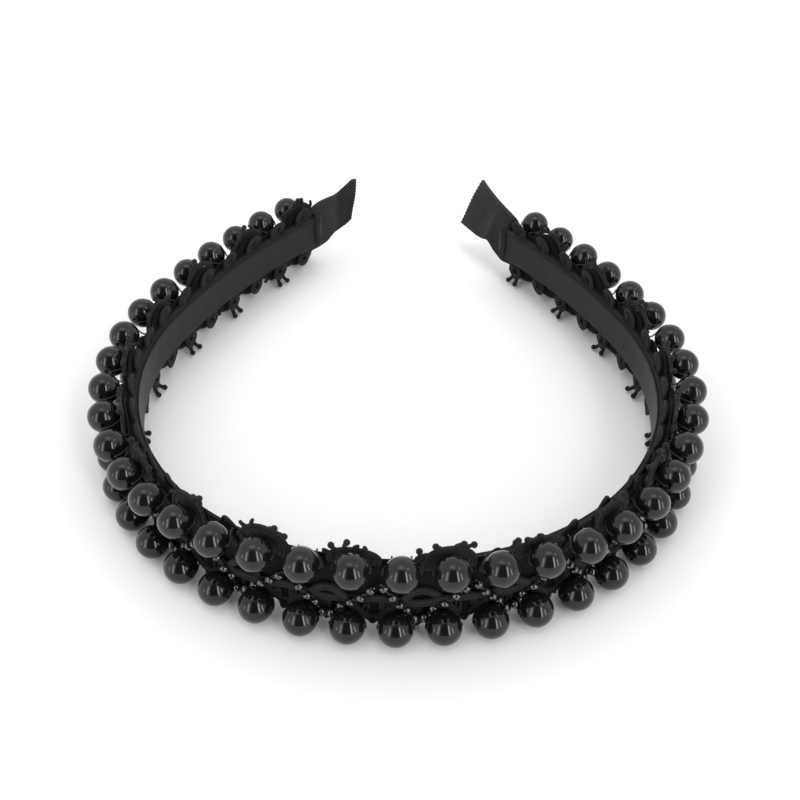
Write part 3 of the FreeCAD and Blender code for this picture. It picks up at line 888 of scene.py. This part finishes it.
def makeLoops():
    for part in reach:
        index = beadsOn(part)
        run = beadRows["middleRun"] + index * beadRows["pitch"]
        lean = 90 - np.sign(run) * (loops["lean"] + dice.uniform(-10, 10, len(run)))
        shapes = []
        for inset in (0.0, loops["inner"]):
            grow = dice.uniform(-0.15, 0.15, len(run))
            rise = np.interp(np.abs(index), loops["upperBeads"], loops["upper"])
            path = loopPath(run, rise + dice.uniform(-0.3, 0.3, len(run)), loops["long"] - inset + grow,
                            loops["short"] - inset * 0.85 + grow, lean)
            shapes.append(cordsFrom(path, run, loops["cord"], closed=True))
        piece = makePiece("upperLoops" + part.capitalize(), shapes, finish["gimp_cord"])
        rideWith(piece, part, "upper_eyelet_cords")
        shapes = []
        for inset in (0.0, loops["inner"]):
            grow = dice.uniform(-0.12, 0.12, len(run))
            path = loopPath(run, loops["low"] + 0 * run, loops["ring"] - inset + grow,
                            loops["ring"] - 0.2 - inset + grow, lean)
            shapes.append(cordsFrom(path, run, loops["cord"], closed=True))
        shapes += hairPins(run[index % 2 == 0])
        if part != "crown":
            shapes.append(endCords(part))
        piece = makePiece("lowerLoops" + part.capitalize(), shapes, finish["gimp_cord"])
        rideWith(piece, part, "lower_eyelet_cords")


makeLoops()
print("scallops, picots and loops laid")


# ---- ribbons that run the whole length ----

def ribbonOutline(width, thickness, across=12, turnPoints=3):
    # round the section as (stand, height): outer face down, lower edge, inner face up, upper edge
    half, edge = width / 2 - thickness / 2, thickness / 2
    way = np.linspace(half, -half, across)
    turn = np.linspace(0, -np.pi, turnPoints + 2)[1:-1]
    outer = np.stack([np.full(across, edge), way], -1)
    lower = np.stack([edge * np.cos(turn), -half + edge * np.sin(turn)], -1)
    return np.concatenate([outer, lower, -outer, -lower])


def girthOf(outline):
    loop = np.concatenate([outline, outline[:1]])
    return np.concatenate([[0], np.cumsum(np.linalg.norm(np.diff(loop, axis=0), axis=1))]) / 10


def sideRuns(end, step):
    # runs from the crown's middle to a tip, always increasing
    low, high = sorted((0.0, end))
    return np.linspace(low, high, int((high - low) / step) + 1)


bendWidth = 22.0


def blendSide(piece, side, kind):
    # the whole length stays one piece baked in place; the ends of a bend at the shoulder are worked out but not
    # used, and the parts it stands for are hidden
    sign = -1 if side == "left" else 1
    start, end = (onBand(shoulder[side] + sign * offset, coreStand, coreHeight)
                  for offset in (-bendWidth / 2, bendWidth / 2))
    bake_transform(piece)
    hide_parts(side + "_" + kind)
    if side == "left":
        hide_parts("crown_" + kind)


lining = {"width": 9.6, "flat": 10.0, "pucker": 0.02, "step": 0.8, "endCurve": 2.2}


def makeLining():
    # the satin puckers a little along its length, and its end is a shallow hollow curve
    for side in ("left", "right"):
        runs = sideRuns(trimEnd[side], lining["step"])
        outline = ribbonOutline(lining["width"], layers["lining"], 14)
        stand = liningFace - layers["lining"] / 2 + outline[None, :, 0]
        wave = np.sin(runs * 0.9) + np.sin(runs * 0.37 + 1.0) + 0.6 * np.sin(runs * 2.3)
        inside = (outline[:, 0] < 0) * np.cos(outline[:, 1] / lining["width"] * np.pi)
        stand = stand - lining["pucker"] * (wave * np.minimum(np.abs(runs), 6) / 6)[:, None] * inside
        height = coreHeight + outline[None, :, 1] + 0 * stand
        pull = lining["endCurve"] * (1 - (outline[:, 1] / lining["width"] * 2) ** 2)
        near = np.clip(1 - np.abs(runs - trimEnd[side]) / 14, 0, 1) ** 2
        run = runs[:, None] + near[:, None] * pull[None] * (1 if side == "left" else -1) * -0.4
        grid = onBand(run, stand, height)[None]
        piece = makePiece("liningRibbon" + side.capitalize(),
                          [skin(grid, along=runs / 10, around=girthOf(outline))], finish["satin_ribbon"])
        blendSide(piece, side, "lining_ribbon")
        abs(trimEnd[side]) * mm


cover = {"width": 9.2, "lip": 2.2, "step": 1.0, "inset": 7.0}


def coverOutline():
    # a C round the core: down the outer face and round under both edges, then back inside
    face, back, half = coreStand + layers["core"] / 2, coreStand - layers["core"] / 2, cover["width"] / 2
    thick, lip = layers["cover"], half - cover["lip"]
    outer = [(back - thick, lip), (back - thick, half + 0.1), (back - 0.1, half + thick),
             (face + 0.1, half + thick), (face + thick, half + 0.1), (face + thick, 2.0),
             (face + thick, -2.0), (face + thick, -half - 0.1), (face + 0.1, -half - thick),
             (back - 0.1, -half - thick), (back - thick, -half - 0.1), (back - thick, -lip)]
    inner = [(back, -lip), (back, -half + 0.1), (back + 0.1, -half), (face - 0.1, -half),
             (face, -half + 0.1), (face, -2.0), (face, 2.0), (face, half - 0.1), (face - 0.1, half),
             (back + 0.1, half), (back, half - 0.1), (back, lip)]
    return np.array(outer + inner)


def makeCover():
    for side in ("left", "right"):
        inset = cover["inset"] if side == "left" else -cover["inset"]
        runs = sideRuns(trimEnd[side] + inset, cover["step"])
        outline = coverOutline()
        grid = onBand(runs[:, None], outline[None, :, 0], coreHeight + outline[None, :, 1])[None]
        piece = makePiece("coverRibbon" + side.capitalize(),
                          [skin(grid, along=runs / 10, around=girthOf(outline))], finish["satin_ribbon"])
        blendSide(piece, side, "cover_ribbon")


# the braid's cloth: filled up to the arches above and below, straight between them
web = {"step": 0.55, "across": 26, "above": (-2.2, 1.8, 1.8, 0.4), "aboveBeads": (2.5, 5, 9, 11),
       "below": 2.0, "inset": 1.1, "ripple": 0.06, "bulge": 2.5, "bulgeWide": 1.7, "bulgeTop": 6.5,
       "bulgeFade": 4.0}


def makeWeb():
    for side in ("left", "right"):
        runs = sideRuns(trimEnd[side], web["step"])
        place = (runs - beadRows["middleRun"]) / beadRows["pitch"]
        oddBead = 2 * np.round((place - 1) / 2) + 1
        evenBead = 2 * np.round(place / 2)
        away = (place - oddBead) * beadRows["pitch"] / (scallop["halfWidth"] - 0.5)
        arch = np.sqrt(np.clip(1 - away ** 2, 0, 1))
        above = np.interp(np.abs(place), web["aboveBeads"], web["above"])
        top = upperHeight(runs) + np.maximum(above, scallop["foot"]
                                             + (upperTop(oddBead) - scallop["foot"] - web["inset"]) * arch)
        away = (place - evenBead) * beadRows["pitch"] / (scallop["lowHalf"] - 0.3)
        arch = np.sqrt(np.clip(1 - away ** 2, 0, 1))
        drop = (scallop["lowTop"] - web["inset"]) * arch
        low = np.minimum(web["below"], lowerHeight + scallop["lowFoot"] - drop)
        outline = ribbonOutline(2.0, layers["ground"], web["across"])
        share = np.clip(outline[:, 1], -1, 1)
        height = (top + low)[:, None] / 2 + (top - low)[:, None] / 2 * share[None]
        ripple = web["ripple"] * np.sin(height * 6.3 + 2 * np.sin(runs * 0.6)[:, None])
        # the cloth bulges between the lower beads; gap is 0 midway between two of them
        gap = (place + beadRows["lowerLag"] / beadRows["pitch"]) % 1.0 - 0.5
        bulge = web["bulge"] * np.exp(-(gap * beadRows["pitch"] / web["bulgeWide"]) ** 2)[:, None]
        bulge = bulge * np.clip((web["bulgeTop"] - height) / web["bulgeFade"], 0, 1) ** 1.5
        stand = (groundFace + coverFace) / 2 + outline[None, :, 0] * 0.97
        stand = stand + ripple * (outline[:, 0] > 0) + bulge
        grid = onBand(runs[:, None], stand, height)[None]
        piece = makePiece("braidCloth" + side.capitalize(),
                          [skin(grid, along=runs / 10, around=girthOf(outline * [1, 8]))],
                          finish["braid_ground"])
        blendSide(piece, side, "braid_ground")
        abs(trimEnd[side]) * mm


makeLining()
makeCover()
makeWeb()


# ---- middle cords: two pairs that cross at every bead and open into eyes between ----

middle = {"means": (7.8, 9.0), "swings": (4.4, -0.7), "lead": 0.43, "apart": 1.1, "cord": 0.56,
          "step": 0.45, "weave": 0.3, "stand": 0.45}


def makeMiddleCords():
    for side in ("left", "right"):
        runs = sideRuns(trimEnd[side], middle["step"])
        phase = np.pi * ((runs - beadRows["middleRun"]) / beadRows["pitch"] - middle["lead"])
        drift = 0.25 * np.sin(runs * 0.21) + 0.15 * np.sin(runs * 0.53 + 2)
        shapes = []
        for pair, (mean, swing) in enumerate(zip(middle["means"], middle["swings"])):
            for n in (-0.5, 0.5):
                height = mean + swing * np.cos(phase) + n * middle["apart"] + drift
                weave = middle["weave"] * np.sin(phase * 0.5 + 0.8) * (1 if pair else -1)
                path = onBand(runs, cordStand + middle["stand"] + weave, height)[None]
                shapes.append(tubes(path, outwardAt(runs)[None], middle["cord"], 8))
        piece = makePiece("middleCords" + side.capitalize(), shapes, finish["gimp_cord"])
        blendSide(piece, side, "middle_gimp_cords")


makeMiddleCords()
print("ribbons, cloth and middle cords laid")


# ---- ribbed ribbon tips ----

# edges of each tip: distance past the braid, stand and height of the lower, then of the upper edge
tips = {"left": (((-7.0, -7.3, 7.5), (-4.5, -7.4, 7.2), (-0.6, -7.5, 7.2), (2.2, -7.5, 7.3),
                  (4.3, -7.5, 7.8), (5.8, -7.5, 8.7), (7.3, -7.5, 9.2), (9.6, -7.5, 9.3),
                  (12.1, -7.5, 9.4), (14.5, -7.5, 9.9)),
                 ((-7.0, -6.5, 18.5), (-3.8, -6.1, 18.8), (-0.5, -5.6, 19.6), (2.0, -5.7, 20.7),
                  (4.2, -6.0, 21.3), (6.4, -6.2, 21.3), (9.2, -6.5, 21.2), (12.5, -6.7, 21.9),
                  (16.5, -6.75, 22.5), (18.3, -6.75, 22.0))),
        "right": (((-7.0, -7.3, 7.5), (-3.0, -7.4, 7.2), (0.2, -7.5, 7.0), (2.1, -7.5, 7.9),
                   (4.0, -7.5, 8.8), (6.5, -7.5, 10.5), (8.8, -7.5, 9.8), (11.4, -7.5, 9.4),
                   (14.6, -7.5, 9.2), (20.2, -7.5, 8.7)),
                  ((-7.0, -6.4, 18.5), (-3.8, -5.4, 18.9), (-1.1, -4.2, 19.8), (1.7, -3.5, 20.6),
                   (5.3, -3.0, 21.4), (7.5, -2.5, 21.5), (9.9, -2.0, 21.5), (12.5, -1.5, 21.55),
                   (15.2, -1.0, 21.6), (21.7, 0.0, 21.6))),
        "ribs": 13, "ribHeight": {"left": 0.07, "right": 0.14}, "thick": 0.8, "rings": 90,
        "across": 79, "fold": 0.45, "flat": {"left": (13.5, 26.0), "right": (14.5, 29.0)}}


def makeTips():
    # a skin between the two edge curves, thickened both ways, with raised cosine ribs lengthwise
    for side, sign in (("left", -1), ("right", 1)):
        share = np.linspace(0, 1, tips["rings"])
        lower, upper = (smoothEdge(edge, share) for edge in tips[side])
        outline = ribbonOutline(2.0, 0.1, tips["across"], 3)
        v = (np.clip(outline[:, 1], -0.95, 0.95) / 0.95 + 1) / 2
        mix = lower[:, None] * (1 - v)[None, :, None] + upper[:, None] * v[None, :, None]
        fold = tips["fold"] * np.sin(share[:, None] * 9 + v[None] * 2.2) * np.sin(v * np.pi)[None]
        fold = fold * np.clip(share * 3 - 0.9, 0, 1)[:, None]
        face = np.sign(outline[:, 0])
        rib = tips["ribHeight"][side] * np.cos(v * tips["ribs"] * 2 * np.pi)
        rib = rib * (np.abs(outline[:, 0]) > 0.04)
        swell = 1 + 1.0 * np.clip(1 - (mix[..., 0] + 1.0) / 6, 0, 1)    # opens round the core's end
        stand = mix[..., 1] + fold + face[None] * (tips["thick"] / 2 * swell + rib[None])
        grid = onBand(trimEnd[side] + sign * mix[..., 0], stand, mix[..., 2])
        if side == "left":
            grid = grid[::-1]
        piece = makePiece("ribbonTip" + side.capitalize(),
                          [skin(grid[None], along=share * 2.7, around=girthOf(outline * [1, 6.5]))],
                          finish["grosgrain_ribbon"])
        rideWith(piece, side, "tip_ribbon")


makeTips()
